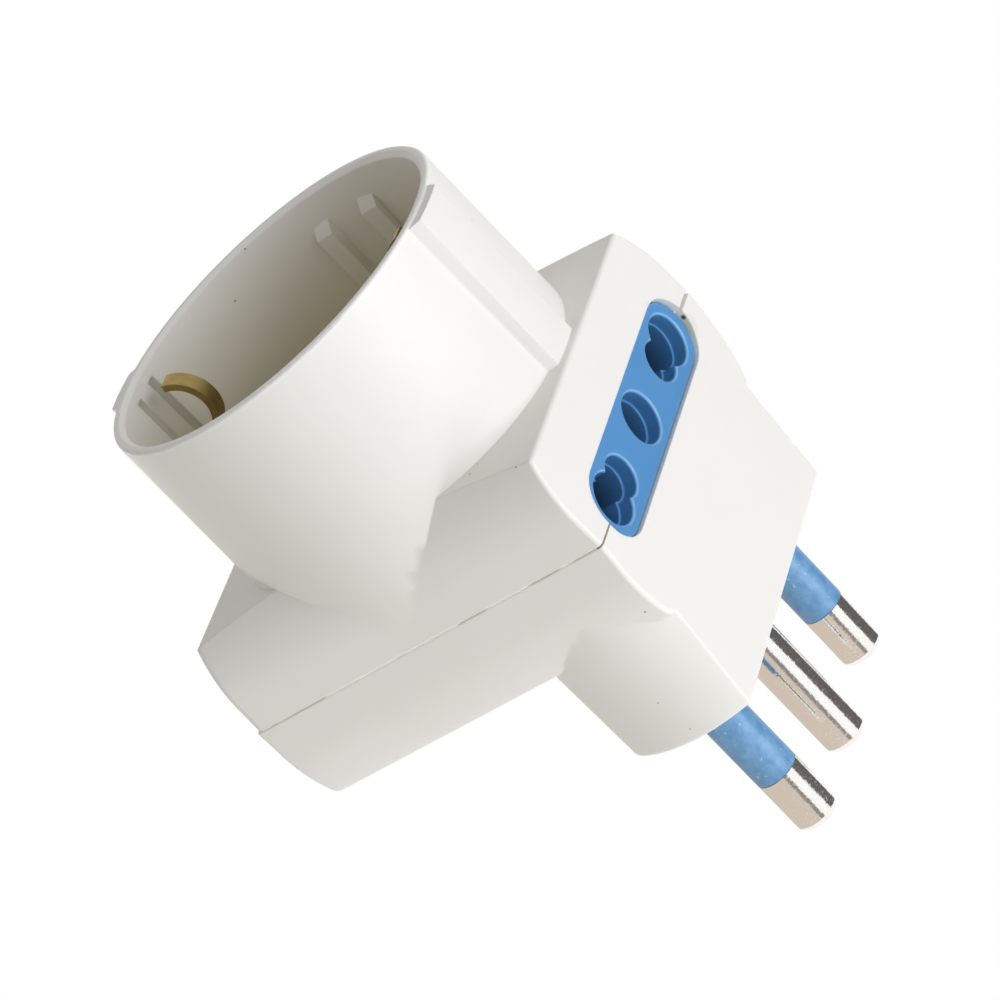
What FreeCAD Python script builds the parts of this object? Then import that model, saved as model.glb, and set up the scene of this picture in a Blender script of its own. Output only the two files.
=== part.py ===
import FreeCAD, Part
import os
import re
import Sketcher

# An angled adapter: a three-pin stem under one end of a crossbar, a three-hole outlet in each end
# face of the crossbar, and a round earthed outlet in a collar on top.
# Millimetres. Origin: on the earth pin's axis, in the plane where the stem meets the wall socket.
# +Z runs from the pins to the collar's rim, Y along the row of pins, +X to the end over the stem.

SIZES = {
    # crossbar and stem
    "stem_length": 12.8,
    "rear_depth": 11.7,
    "front_height": 10.7,
    "collar_height": 21.3,
    "collar_distance": 14.0,
    "bar_reach": 23.7,
    "far_reach": 24.5,
    "side_margin": 3.45,
    "side_straight": 3.5,
    "top_side_drop": 1.95,
    "keel_side_drop": 2.05,
    "crown": 1.5,
    "rear_end_lean": 2.1,
    "front_end_lean": 0.55,
    "far_end_lean": 0.35,
    "wall": 2.0,
    "end_wall": 2.6,
    "edge_round": 0.5,
    "far_edge_round": 1.2,
    "keel_round": 1.8,
    "seam_bevel": 0.12,
    "seam_gap": 0.45,
    "seam_gap_depth": 1.2,
    "stem_step": 0.75,
    "stem_side_bulge": 2.96,
    "stem_back": 8.7,
    "stem_corner": 3.5,
    "stem_draft": 1.2,
    "base_wall": 2.2,
    # collar and round outlet
    "recess_radius": 19.9,
    "recess_draft": 0.2,
    "recess_depth": 17.5,
    "mouth_depth": 1.6,
    "floor_thickness": 2.5,
    "collar_rim_wall": 1.33,
    "collar_foot_wall": 1.5,
    "skirt_fade": 0.1,
    "skirt_pinch": 0.2,
    "skirt_end": 1.2,
    "skirt_shoulder": 6.0,
    "rim_round": 0.35,
    "rim_chamfer": 0.5,
    "outlet_spacing": 19.0,
    "outlet_hole_radius": 2.6,
    "outlet_hole_chamfer": 0.4,
    "under_floor_margin": 3.0,
    "rib_offset": 3.25,
    "rib_width": 2.2,
    "rib_depth": 1.5,
    "rib_drop": 3.6,
    "rib_slope": 1.2,
    "boss_height": 0.95,
    "boss_crest_half": 3.0,
    "boss_foot_half": 3.8,
    "boss_drop": 0.3,
    "groove_offset": 1.9,
    "groove_width": 1.3,
    "groove_depth": 1.0,
    # pins and sleeves
    "pin_radius": 2.5,
    "pin_spacing": 26.0,
    "pin_length": 18.5,
    "earth_pin_length": 19.4,
    "pin_end_round": 0.9,
    "shank_radius": 2.2,
    "shank_relief": 0.05,
    "neck_radius": 2.0,
    "sleeve_length": 11.3,
    "sleeve_seat": 2.0,
    "sleeve_chamfer": 0.12,
    "sleeve_waist": 0.2,
    "pin_clearance": 0.06,
    "tube_wall": 1.5,
    "tube_drop": 4.8,
    "flange_radius": 3.6,
    "flange_thickness": 1.5,
    "tail_radius": 1.5,
    "rivet_rim": 0.6,
    "rivet_head": 0.6,
    # blue outlets
    "insert_recess": 0.7,
    "insert_end_rim": 1.65,
    "insert_side_rim": 1.25,
    "insert_clearance": 0.08,
    "insert_lip": 1.1,
    "insert_flange": 1.4,
    "insert_depth": 6.0,
    "hole_radius": 2.85,
    "inner_hole_radius": 2.28,
    "inner_hole_spacing": 19.0,
    "hole_step": 0.25,
    "hole_step_depth": 1.8,
    "hole_chamfer": 0.25,
    "guide_wall": 1.2,
    "keeper_thickness": 1.5,
    "keeper_bite": 0.25,
    # bars and contacts
    "strip_drop": 5.3,
    "strip_thickness": 0.8,
    "strip_inner": 8.0,
    "strip_margin": 1.8,
    "earth_strip_half": 5.0,
    "strip_end_margin": 3.4,
    "strip_far_margin": 4.0,
    "stud_radius": 1.0,
    "stud_head_rim": 0.6,
    "stud_head": 0.5,
    "stud_offset": 8.0,
    "rivet_clearance": 0.05,
    "spring_thickness": 0.6,
    "spring_gap": 5.1,
    "throat_gap": 4.4,
    "mouth_gap": 6.2,
    "throat_run": 2.2,
    "contact_width": 7.4,
    "earth_contact_width": 5.0,
    "round_contact_width": 5.0,
    "mouth_clearance": 0.2,
    "back_clearance": 1.2,
    "round_gap": 4.9,
    "round_top_clearance": 1.2,
    # earth clips, strap and riser
    "clip_width": 2.0,
    "clip_shift": 0.5,
    "clip_thickness": 0.8,
    "clip_wall_clearance": 0.1,
    "clip_leg_height": 7.2,
    "clip_foot": 5.6,
    "bow_inset": 2.5,
    "bow_drop": 5.5,
    "bow_radius": 3.6,
    "slot_clearance": 0.2,
    "strap_plate_half": 6.0,
    "strap_plate_reach": 4.5,
    "riser_width": 4.0,
    "riser_depth": 1.6,
    "riser_clearance": 0.4,
    # screw, boss, posts and pegs
    "screw_radius": 1.5,
    "screw_length": 16.0,
    "screw_head_radius": 2.8,
    "screw_head_height": 1.6,
    "screw_sink": 1.7,
    "screw_clearance": 0.2,
    "thread_clearance": 0.02,
    "cross_width": 0.6,
    "cross_length": 3.4,
    "cross_depth": 0.9,
    "boss_wall": 1.5,
    "boss_gap": 0.1,
    "post_radius": 1.2,
    "post_clearance": 0.35,
    "peg_radius": 1.1,
    "peg_length": 2.8,
    "peg_wall": 0.8,
    "peg_clearance": 0.1,
    "peg_post_clearance": 0.15,
}

# lengths that follow from the sizes
WORKED_OUT = {
    "bar_bottom": "stem_length",
    "parting_height": "stem_length + rear_depth",
    "bar_top": "parting_height + front_height",
    "rim_height": "bar_top + collar_height",
    "floor_level": "rim_height - recess_depth",
    "floor_under": "floor_level - floor_thickness",
    "strap_top": "floor_under - clip_thickness",
    "strap_under": "strap_top - clip_thickness",
    "cavity_floor": "bar_bottom + wall",
    "cavity_top": "bar_top - wall",
    "bar_end": "bar_reach - collar_distance",
    "far_end": "far_reach + collar_distance",
    "crown_radius": "((bar_reach + far_reach)^2 / 4 + crown^2) / (2 * crown)",
    "crown_level": "bar_top + crown - crown_radius",
    "crown_middle": "(bar_end - far_end) / 2",
    "pin_row": "pin_spacing / 2",
    "outlet_row": "outlet_spacing / 2",
    "inner_hole_row": "inner_hole_spacing / 2",
    "opening_half_length": "pin_row + hole_radius + insert_end_rim",
    "opening_half_height": "hole_radius + insert_side_rim",
    "bar_half_width": "opening_half_length + side_margin",
    "stem_half_width": "bar_half_width - stem_step",
    "stem_middle": "(bar_end - stem_back) / 2",
    "stem_half_depth": "(bar_end + stem_back) / 2",
    "stem_side_radius": "(stem_half_depth^2 + stem_side_bulge^2) / (2 * stem_side_bulge)",
    "top_side_radius":
        "((front_height - side_straight)^2 + top_side_drop^2) / (2 * top_side_drop)",
    "keel_side_radius":
        "((rear_depth - side_straight)^2 + keel_side_drop^2) / (2 * keel_side_drop)",
    "collar_rim_radius": "recess_radius + collar_rim_wall",
    "collar_foot_radius": "recess_radius + collar_foot_wall",
    "under_floor_radius": "recess_radius - under_floor_margin",
    "boss_reach": "collar_foot_radius + boss_height",
    "tube_top": "cavity_floor - tube_drop",
    "strip_top": "parting_height - strip_drop",
    "strip_under": "strip_top - strip_thickness",
    "strip_outer": "pin_row + strip_margin",
    "contact_middle": "(strip_inner + strip_outer) / 2 - 0.15",
    "stud_head_radius": "stud_radius + stud_head_rim",
    "screw_boss_radius": "screw_radius + boss_wall",
    "mouth_place": "bar_end - insert_recess - insert_depth - mouth_clearance",
    "spring_depth": "mouth_place + collar_distance - screw_boss_radius - back_clearance",
    "clip_leg": "recess_radius - recess_draft - clip_wall_clearance - clip_thickness / 2",
    "bow_centre": "recess_radius - bow_inset",
    "riser_inner": "screw_boss_radius + riser_clearance",
    "riser_outer": "riser_inner + riser_depth",
    "post_offset": "stud_offset - stud_head_radius - post_radius - post_clearance",
    "peg_post_radius": "peg_radius + peg_wall",
    "peg_row": "strip_outer + peg_post_clearance + peg_post_radius",
    "strip_end": "strip_end_margin",
    "far_stud": "-collar_distance - stud_offset - far_reach + bar_reach",
    "strip_far": "strip_far_margin - far_stud",
}

os.makedirs("parts", exist_ok=True)
doc = FreeCAD.newDocument("Adapter")
sheet = doc.addObject("Spreadsheet::Sheet", "Sizes")
for row, (alias, number) in enumerate(SIZES.items(), start=1):
    sheet.set(f"A{row}", alias)
    sheet.set(f"B{row}", str(number))
    sheet.setAlias(f"B{row}", alias)
doc.recompute()

FOLLOWS = re.compile(r"\b(" + "|".join(WORKED_OUT) + r")\b")
NAMES = re.compile(r"\b(" + "|".join(SIZES) + r")\b")


def sized(expression):
    """The expression with each size's name pointing at its cell in the sheet."""
    while FOLLOWS.search(expression):
        expression = FOLLOWS.sub(lambda found: f"({WORKED_OUT[found.group()]})", expression)
    return NAMES.sub(r"Sizes.\1", expression)


def value(expression):
    """What the expression comes to now, as a plain number."""
    return float(sheet.evalExpression(sized(expression).replace("Sizes.", "")))


def new_body(label):
    """A body whose Label names its file."""
    body = doc.addObject("PartDesign::Body", label)
    body.Label = label
    return body


def pin_point(sketch, geometry, position, x, y):
    """Hold one point of a sketch at x, y, both expressions."""
    for axis, expression in (("DistanceX", x), ("DistanceY", y)):
        rule = Sketcher.Constraint(axis, -1, 1, geometry, position, value(expression))
        index = sketch.addConstraint(rule)
        sketch.setExpression(f"Constraints[{index}]", sized(expression))


def add_circle(sketch, x, y, radius):
    """A circle held by its centre and radius."""
    centre = FreeCAD.Vector(value(x), value(y), 0)
    geometry = sketch.addGeometry(Part.Circle(centre, FreeCAD.Vector(0, 0, 1), value(radius)))
    pin_point(sketch, geometry, 3, x, y)
    index = sketch.addConstraint(Sketcher.Constraint("Radius", geometry, value(radius)))
    sketch.setExpression(f"Constraints[{index}]", sized(radius))


def add_outline(sketch, steps):
    """A closed outline. Each step is a corner (x, y), reached by a straight line from the step
    before it, or (x, y, centre x, centre y, turn), reached by an arc that turns left or right."""
    corners = [FreeCAD.Vector(value(step[0]), value(step[1]), 0) for step in steps]
    ends = []
    for number, step in enumerate(steps):
        start, end = corners[number - 1], corners[number]
        if len(step) == 2:
            geometry = sketch.addGeometry(Part.LineSegment(start, end))
            ends.append((geometry, 1, 2))
            continue
        centre = FreeCAD.Vector(value(step[2]), value(step[3]), 0)
        left = step[4] == "left"
        first, last = (start, end) if left else (end, start)
        circle = Part.Circle(centre, FreeCAD.Vector(0, 0, 1), (start - centre).Length)
        arc = Part.ArcOfCircle(circle, circle.parameter(first), circle.parameter(last))
        geometry = sketch.addGeometry(arc)
        ends.append((geometry, 1, 2) if left else (geometry, 2, 1))
    for number, step in enumerate(steps):
        geometry, start_side, end_side = ends[number]
        following = ends[(number + 1) % len(ends)]
        sketch.addConstraint(Sketcher.Constraint("Coincident", geometry, end_side,
                                                 following[0], following[1]))
        pin_point(sketch, geometry, end_side, step[0], step[1])
        if len(step) > 2:
            chord = corners[number] - corners[number - 1]
            across = abs(chord.y) > abs(chord.x)
            axis, expression = ("DistanceX", step[2]) if across else ("DistanceY", step[3])
            rule = Sketcher.Constraint(axis, -1, 1, geometry, 3, value(expression))
            index = sketch.addConstraint(rule)
            sketch.setExpression(f"Constraints[{index}]", sized(expression))


def new_sketch(body, role, offset="0", shift="0", outlines=(), circles=()):
    """A sketch on one of the body's origin planes, moved along the plane's normal by offset and
    along the plane's first axis by shift."""
    plane = next(item for item in body.Origin.OriginFeatures if item.Role == role)
    sketch = body.newObject("Sketcher::SketchObject", f"{body.Label}_sketch")
    sketch.AttachmentSupport = [(plane, "")]
    sketch.MapMode = "FlatFace"
    sketch.setExpression(".AttachmentOffset.Base.z", sized(offset))
    sketch.setExpression(".AttachmentOffset.Base.x", sized(shift))
    for steps in outlines:
        add_outline(sketch, steps)
    for circle in circles:
        add_circle(sketch, *circle)
    return sketch


def extrude(kind, body, sketch, length, backwards=False, both=False, taper=None):
    """A Pad or a Pocket of the sketch. A Pad runs along the sketch's normal and a Pocket against
    it, unless backwards; both makes it symmetric about the sketch."""
    feature = body.newObject(f"PartDesign::{kind}", f"{body.Label}_{kind.lower()}")
    feature.Profile = sketch
    feature.setExpression("Length", sized(length))
    feature.Reversed = backwards
    if both:
        feature.SideType = "Symmetric"
    if taper:
        feature.setExpression("TaperAngle", sized(taper))
    doc.recompute()
    return feature


def pad(body, sketch, length, **how):
    return extrude("Pad", body, sketch, length, **how)


def pocket(body, sketch, length, **how):
    return extrude("Pocket", body, sketch, length, **how)


def revolve(body, sketch, kind="Revolution"):
    """The sketch turned a full circle about its own vertical axis, added or cut away."""
    feature = body.newObject(f"PartDesign::{kind}", f"{body.Label}_{kind.lower()}")
    feature.Profile = sketch
    feature.ReferenceAxis = (sketch, ["V_Axis"])
    feature.Angle = 360
    doc.recompute()
    return feature


def soften(body, kind, size, chosen):
    """A Fillet or a Chamfer on the edges of the body's last feature that chosen(edge) picks."""
    base = body.Tip
    picked = [f"Edge{number}" for number, edge in enumerate(base.Shape.Edges, start=1)
              if chosen(edge)]
    feature = body.newObject(f"PartDesign::{kind}", f"{body.Label}_{kind.lower()}")
    feature.Base = (base, picked)
    feature.setExpression("Radius" if kind == "Fillet" else "Size", sized(size))
    doc.recompute()
    return feature


def rectangle(low_x, high_x, low_y, high_y):
    return [(low_x, low_y), (high_x, low_y), (high_x, high_y), (low_x, high_y)]


def capsule(half_length, half_height, middle):
    """A long outline with round ends, its long way along the sketch's first axis."""
    straight = f"(({half_length}) - ({half_height}))"
    low, high = f"{middle} - ({half_height})", f"{middle} + ({half_height})"
    return [(straight, low), (straight, high, straight, middle, "left"),
            (f"-{straight}", high), (f"-{straight}", low, f"-{straight}", middle, "left")]


def near(a, b, tolerance=0.02):
    return abs(a - b) < tolerance


def bar_section(limit, side_radius, inset="0"):
    """The crossbar's cross-section in Y and Z, from the parting plane up or down to limit, with
    sides that curve in; inset shrinks it evenly for the hollow inside."""
    centre = f"(bar_half_width - {side_radius})"
    side = f"({side_radius} - {inset})"
    rise = f"(abs({limit} - parting_height) - {inset})"
    edge = f"({centre} + sqrt({side}^2 - ({rise} - side_straight)^2))"
    wide = f"(bar_half_width - {inset})"
    upward = value(f"{limit} - parting_height") > 0
    sense, turn = ("+", "left") if upward else ("-", "right")
    level = f"(parting_height {sense} {rise})"
    bend = f"(parting_height {sense} side_straight)"
    return [(f"-{wide}", bend, f"-{centre}", bend, turn), (f"-{wide}", "parting_height"),
            (wide, "parting_height"), (wide, bend), (edge, level, centre, bend, turn),
            (f"-{edge}", level)]


def trim_ends(body, right_foot, lean, far_foot):
    """Cut the two end faces so that each leans in from the parting plane."""
    past = "(bar_end + end_wall)"
    far_past = "(-far_end - end_wall)"
    right = [("bar_end", "parting_height"), (f"bar_end - {lean}", right_foot),
             (past, right_foot), (past, "parting_height")]
    far = [("-far_end", "parting_height"), ("-far_end + far_end_lean", far_foot),
           (far_past, far_foot), (far_past, "parting_height")]
    cut = new_sketch(body, "XZ_Plane", outlines=[right, far])
    pocket(body, cut, "4 * bar_half_width", both=True)


def cut_outlet_openings(body):
    """The round-ended opening for a blue insert in each end wall."""
    outline = capsule("opening_half_length", "opening_half_height", "parting_height")
    for start, backwards in (("bar_end + end_wall", False), ("-far_end - end_wall", True)):
        cut = new_sketch(body, "YZ_Plane", offset=start, outlines=[outline])
        pocket(body, cut, "3 * end_wall", backwards=backwards)


def add_keepers(body, cavity_side, backwards):
    """Ribs that hold each insert's flange against the end wall, from the parting plane to the
    cavity's far side, rooted in the side walls."""
    seat = "(end_wall + insert_flange + insert_clearance)"
    inner = "(pin_row + hole_radius + guide_wall + insert_clearance)"
    outer = "(bar_half_width - wall + keeper_bite)"
    right = (f"bar_end - {seat} - keeper_thickness", f"bar_end - {seat}")
    left = (f"-far_end + {seat}", f"-far_end + {seat} + keeper_thickness")
    outlines = []
    for low, high in (right, left):
        outlines.append(rectangle(low, high, inner, outer))
        outlines.append(rectangle(low, high, f"-{outer}", f"-{inner}"))
    ribs = new_sketch(body, "XY_Plane", offset="parting_height", outlines=outlines)
    pad(body, ribs, f"abs({cavity_side} - parting_height) + keeper_bite", backwards=backwards)


def bevel_seam(body):
    """Bevel the outer edge at the parting plane, which leaves a fine groove all round."""
    level, side = value("parting_height"), value("bar_half_width")
    ends = (value("bar_end"), value("-far_end"))

    def on_seam(edge):
        box = edge.BoundBox
        if not (near(box.ZMin, level) and near(box.ZMax, level)):
            return False
        on_side = near(abs(box.YMin), side) and near(box.YMin, box.YMax)
        on_face = near(box.XMin, box.XMax) and any(near(box.XMin, end) for end in ends)
        return on_side or on_face

    soften(body, "Chamfer", "seam_bevel", on_seam)


def stem_outline(inset, front):
    """The stem's outline in X and Y: bulging sides, rounded back corners and a flat front."""
    side = f"(stem_side_radius - {inset})"
    corner = f"(stem_corner - {inset})"
    back = f"(stem_back - {inset})"
    row = "(stem_half_width - stem_side_radius)"
    swing = f"({side} - {corner})"
    corner_x = f"(-{back} + {corner})"
    corner_y = f"({row} + sqrt({swing}^2 - ({corner_x} - stem_middle)^2))"
    touch_x = f"(stem_middle + ({corner_x} - stem_middle) * {side} / {swing})"
    touch_y = f"({row} + ({corner_y} - {row}) * {side} / {swing})"
    front_y = f"({row} + sqrt({side}^2 - ({front} - stem_middle)^2))"
    return [(front, front_y),
            (touch_x, touch_y, "stem_middle", row, "left"),
            (f"-{back}", corner_y, corner_x, corner_y, "left"),
            (f"-{back}", f"-{corner_y}"),
            (touch_x, f"-{touch_y}", corner_x, f"-{corner_y}", "left"),
            (front, f"-{front_y}", "stem_middle", f"-{row}", "left")]


def make_rear_shell():
    """The half that faces the wall: lower crossbar, stem, pin tubes, screw boss and posts."""
    body = new_body("rear_shell")
    section = bar_section("bar_bottom", "keel_side_radius")
    profile = new_sketch(body, "YZ_Plane", offset="-far_end", outlines=[section])
    pad(body, profile, "bar_reach + far_reach")
    keel = value("bar_bottom")
    soften(body, "Fillet", "keel_round",
           lambda edge: near(edge.BoundBox.ZMax, keel) and edge.BoundBox.XLength > keel)
    stem = new_sketch(body, "XY_Plane", outlines=[stem_outline("0", "(bar_end + wall / 2)")])
    pad(body, stem, "parting_height", taper="stem_draft")
    trim_ends(body, "0", "rear_end_lean", "bar_bottom")
    soften_rear(body)

    section = bar_section("bar_bottom", "keel_side_radius", "wall")
    hollow = new_sketch(body, "YZ_Plane", offset="-far_end + end_wall", outlines=[section])
    pocket(body, hollow, "bar_reach + far_reach - 2 * end_wall", backwards=True)
    hollow = new_sketch(body, "XY_Plane", offset="cavity_floor + wall",
                        outlines=[stem_outline("wall", "(bar_end - rear_end_lean - wall)")])
    pocket(body, hollow, "cavity_floor + wall - base_wall")

    rows = ("0", "pin_row", "-pin_row")
    bore = "(pin_radius + pin_clearance)"
    tubes = new_sketch(body, "XY_Plane", circles=[("0", y, f"{bore} + tube_wall") for y in rows])
    pad(body, tubes, "tube_top")
    bores = new_sketch(body, "XY_Plane", offset="tube_top", circles=[("0", y, bore) for y in rows])
    pocket(body, bores, "tube_top")

    boss = new_sketch(body, "XY_Plane", offset="bar_bottom",
                      circles=[("-collar_distance", "0", "screw_boss_radius")])
    pad(body, boss, "strap_under - boss_gap - bar_bottom")
    spots = [(f"-collar_distance {sense} post_offset", y, "post_radius")
             for sense in "+-" for y in ("0", "contact_middle", "-contact_middle")]
    posts = new_sketch(body, "XY_Plane", offset="bar_bottom + wall / 2", circles=spots)
    pad(body, posts, "strip_under - bar_bottom - wall / 2")
    pilot = new_sketch(body, "XY_Plane", offset="strap_under",
                       circles=[("-collar_distance", "0", "screw_radius + thread_clearance")])
    pocket(body, pilot, "floor_level - strap_under + screw_length")
    rows = [("-collar_distance", y) for y in ("peg_row", "-peg_row")]
    posts = new_sketch(body, "XY_Plane", offset="bar_bottom + wall / 2",
                       circles=[(*spot, "peg_post_radius") for spot in rows])
    pad(body, posts, "parting_height - bar_bottom - wall / 2")
    pegs = new_sketch(body, "XY_Plane", offset="parting_height",
                      circles=[(*spot, "peg_radius") for spot in rows])
    pad(body, pegs, "peg_length")
    add_keepers(body, "cavity_floor", True)
    cut_outlet_openings(body)
    bevel_seam(body)
    return body


def soften_rear(body):
    """Round the stem's foot, its front corners and the edges of both end faces."""
    parting = value("parting_height")
    far_face = value("-far_end + far_end_lean")
    front_foot = value("bar_end - rear_end_lean")

    def on_edge(edge):
        box = edge.BoundBox
        if near(box.ZMin, parting):
            return False
        return near(box.ZMax, 0) or box.XMin > front_foot - 0.01 or box.XMax < far_face + 0.01

    soften(body, "Fillet", "edge_round", on_edge)


def make_front_shell():
    """The half that faces the user: upper crossbar, collar, recess, guide ribs and clip bosses."""
    body = new_body("front_shell")
    stock_top = "(bar_top + 1.2 * crown)"
    section = bar_section(stock_top, "top_side_radius")
    profile = new_sketch(body, "YZ_Plane", offset="-far_end", outlines=[section])
    pad(body, profile, "bar_reach + far_reach")
    trim_ends(body, stock_top, "front_end_lean", stock_top)
    past, far_past = "(bar_end + end_wall)", "(-far_end - end_wall)"
    foot = f"(crown_level + sqrt(crown_radius^2 - ({past} - crown_middle)^2))"
    above = [(far_past, foot), (past, foot, "crown_middle", "crown_level", "right"),
             (past, "bar_top + 2 * crown"), (far_past, "bar_top + 2 * crown")]
    cut = new_sketch(body, "XZ_Plane", outlines=[above])
    pocket(body, cut, "4 * bar_half_width", both=True)
    parting = value("parting_height")
    far_face = value("-far_end + far_end_lean")

    def near_far_face(edge):
        return edge.BoundBox.XMax < far_face + 0.01 and not near(edge.BoundBox.ZMax, parting)

    soften(body, "Fillet", "far_edge_round", near_far_face)
    soften(body, "Fillet", "edge_round",
           lambda edge: not near(edge.BoundBox.ZMax, parting) and edge.BoundBox.XMin > far_face + 0.5
           and edge.BoundBox.XMin > 0)

    rim_edge = "(collar_rim_radius - rim_round)"
    skirt_radius = "(bar_half_width - skirt_fade)"
    tower = [("0", "parting_height + skirt_end"),
             (skirt_radius, "parting_height + skirt_end"),
             ("collar_foot_radius - skirt_pinch", "parting_height + skirt_shoulder"),
             ("collar_foot_radius", "bar_top + crown / 2"),
             ("collar_rim_radius", "rim_height - rim_round"),
             (rim_edge, "rim_height", rim_edge, "rim_height - rim_round", "left"),
             ("0", "rim_height")]
    collar = new_sketch(body, "XZ_Plane", shift="-collar_distance", outlines=[tower])
    revolve(body, collar)

    outlines = []
    crest = "sqrt(boss_reach^2 - boss_crest_half^2)"
    foot = "sqrt(collar_rim_radius^2 - boss_foot_half^2)"
    for way, turn in (("+", "left"), ("-", "right")):
        root = f"-collar_distance {way} recess_radius"
        step, peak = f"-collar_distance {way} {foot}", f"-collar_distance {way} {crest}"
        outlines.append([(root, "-boss_foot_half"), (step, "-boss_foot_half"),
                         (peak, "-boss_crest_half"),
                         (peak, "boss_crest_half", "-collar_distance", "0", turn),
                         (step, "boss_foot_half"), (root, "boss_foot_half")])
    bosses = new_sketch(body, "XY_Plane", offset="bar_top - wall / 2", outlines=outlines)
    pad(body, bosses, "rim_height - boss_drop - bar_top + wall / 2")

    section = bar_section("bar_top", "top_side_radius", "wall")
    hollow = new_sketch(body, "YZ_Plane", offset="-far_end + end_wall", outlines=[section])
    pocket(body, hollow, "bar_reach + far_reach - 2 * end_wall", backwards=True)
    under = new_sketch(body, "XY_Plane", offset="parting_height",
                       circles=[("-collar_distance", "0", "under_floor_radius")])
    pocket(body, under, "floor_under - parting_height", backwards=True)
    slot_half = "(clip_width / 2 + slot_clearance)"
    channel_half = f"(clip_shift + {slot_half})"
    reach = "(clip_leg + clip_thickness / 2 + slot_clearance)"
    channel = rectangle(f"-collar_distance - {reach}", f"-collar_distance + {reach}",
                        f"-{channel_half}", channel_half)
    under = new_sketch(body, "XY_Plane", offset="parting_height", outlines=[channel])
    pocket(body, under, "floor_under - parting_height", backwards=True)

    hollow = [("0", "floor_level"), ("recess_radius - recess_draft", "floor_level"),
              ("recess_radius", "rim_height - mouth_depth"),
              ("recess_radius", "rim_height - rim_chamfer"),
              ("recess_radius + rim_chamfer", "rim_height"), ("0", "rim_height")]
    recess = new_sketch(body, "XZ_Plane", shift="-collar_distance", outlines=[hollow])
    revolve(body, recess, "Groove")

    inner = "(clip_leg - clip_thickness / 2 - slot_clearance)"
    slots = [rectangle(f"-collar_distance + {inner}", f"-collar_distance + {reach}",
                       f"clip_shift - {slot_half}", f"clip_shift + {slot_half}"),
             rectangle(f"-collar_distance - {reach}", f"-collar_distance - {inner}",
                       f"-clip_shift - {slot_half}", f"-clip_shift + {slot_half}")]
    holes = [("-collar_distance", "outlet_row", "outlet_hole_radius"),
             ("-collar_distance", "-outlet_row", "outlet_hole_radius"),
             ("-collar_distance", "0", "screw_radius + screw_clearance")]
    floor = new_sketch(body, "XY_Plane", offset="floor_level", outlines=slots, circles=holes)
    pocket(body, floor, "floor_thickness")
    sink = new_sketch(body, "XY_Plane", offset="floor_level",
                      circles=[("-collar_distance", "0", "screw_head_radius + screw_clearance")])
    pocket(body, sink, "screw_sink")
    level, across = value("floor_level"), value("2 * outlet_hole_radius")
    soften(body, "Chamfer", "outlet_hole_chamfer",
           lambda edge: near(edge.BoundBox.ZMin, level) and near(edge.BoundBox.ZMax, level)
           and near(edge.BoundBox.XLength, across, 0.1))

    outlines = []
    for way in "+-":
        low = f"-collar_distance {way} rib_offset - rib_width / 2"
        high = f"-collar_distance {way} rib_offset + rib_width / 2"
        face, root = "recess_radius - rib_depth", "recess_radius + rib_depth / 2"
        outlines.append(rectangle(low, high, face, root))
        outlines.append(rectangle(low, high, f"-({root})", f"-({face})"))
    ribs = new_sketch(body, "XY_Plane", offset="floor_level", outlines=outlines)
    pad(body, ribs, "recess_depth - rib_drop")
    level, face = value("rim_height - rib_drop"), value("recess_radius - rib_depth")
    soften(body, "Chamfer", "rib_slope",
           lambda edge: near(edge.BoundBox.ZMin, level) and edge.BoundBox.YLength < 0.01
           and near(abs(edge.BoundBox.YMin), face))

    outlines = []
    deep = "(recess_radius + groove_depth)"
    shallow = "(recess_radius - groove_depth)"
    for row in ("groove_offset", "-groove_offset"):
        low, high = f"{row} - groove_width / 2", f"{row} + groove_width / 2"
        outlines.append(rectangle(f"-collar_distance + {shallow}", f"-collar_distance + {deep}",
                                  low, high))
        outlines.append(rectangle(f"-collar_distance - {deep}", f"-collar_distance - {shallow}",
                                  low, high))
    grooves = new_sketch(body, "XY_Plane", offset="rim_height - mouth_depth", outlines=outlines)
    pocket(body, grooves, "recess_depth - mouth_depth")

    rows = [("-collar_distance", y) for y in ("peg_row", "-peg_row")]
    posts = new_sketch(body, "XY_Plane", offset="parting_height",
                       circles=[(*spot, "peg_post_radius") for spot in rows])
    pad(body, posts, "cavity_top + wall / 2 - parting_height")
    sockets = new_sketch(body, "XY_Plane", offset="parting_height",
                         circles=[(*spot, "peg_radius + peg_clearance") for spot in rows])
    pocket(body, sockets, "peg_length + 2 * peg_clearance", backwards=True)
    add_keepers(body, "cavity_top", False)
    cut_outlet_openings(body)
    bevel_seam(body)
    gap = rectangle("bar_end - seam_gap_depth", "bar_end + end_wall",
                    "opening_half_length - insert_end_rim", "bar_half_width + side_margin")
    cut = new_sketch(body, "XY_Plane", offset="parting_height", outlines=[gap])
    pocket(body, cut, "seam_gap", backwards=True)
    return body


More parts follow.
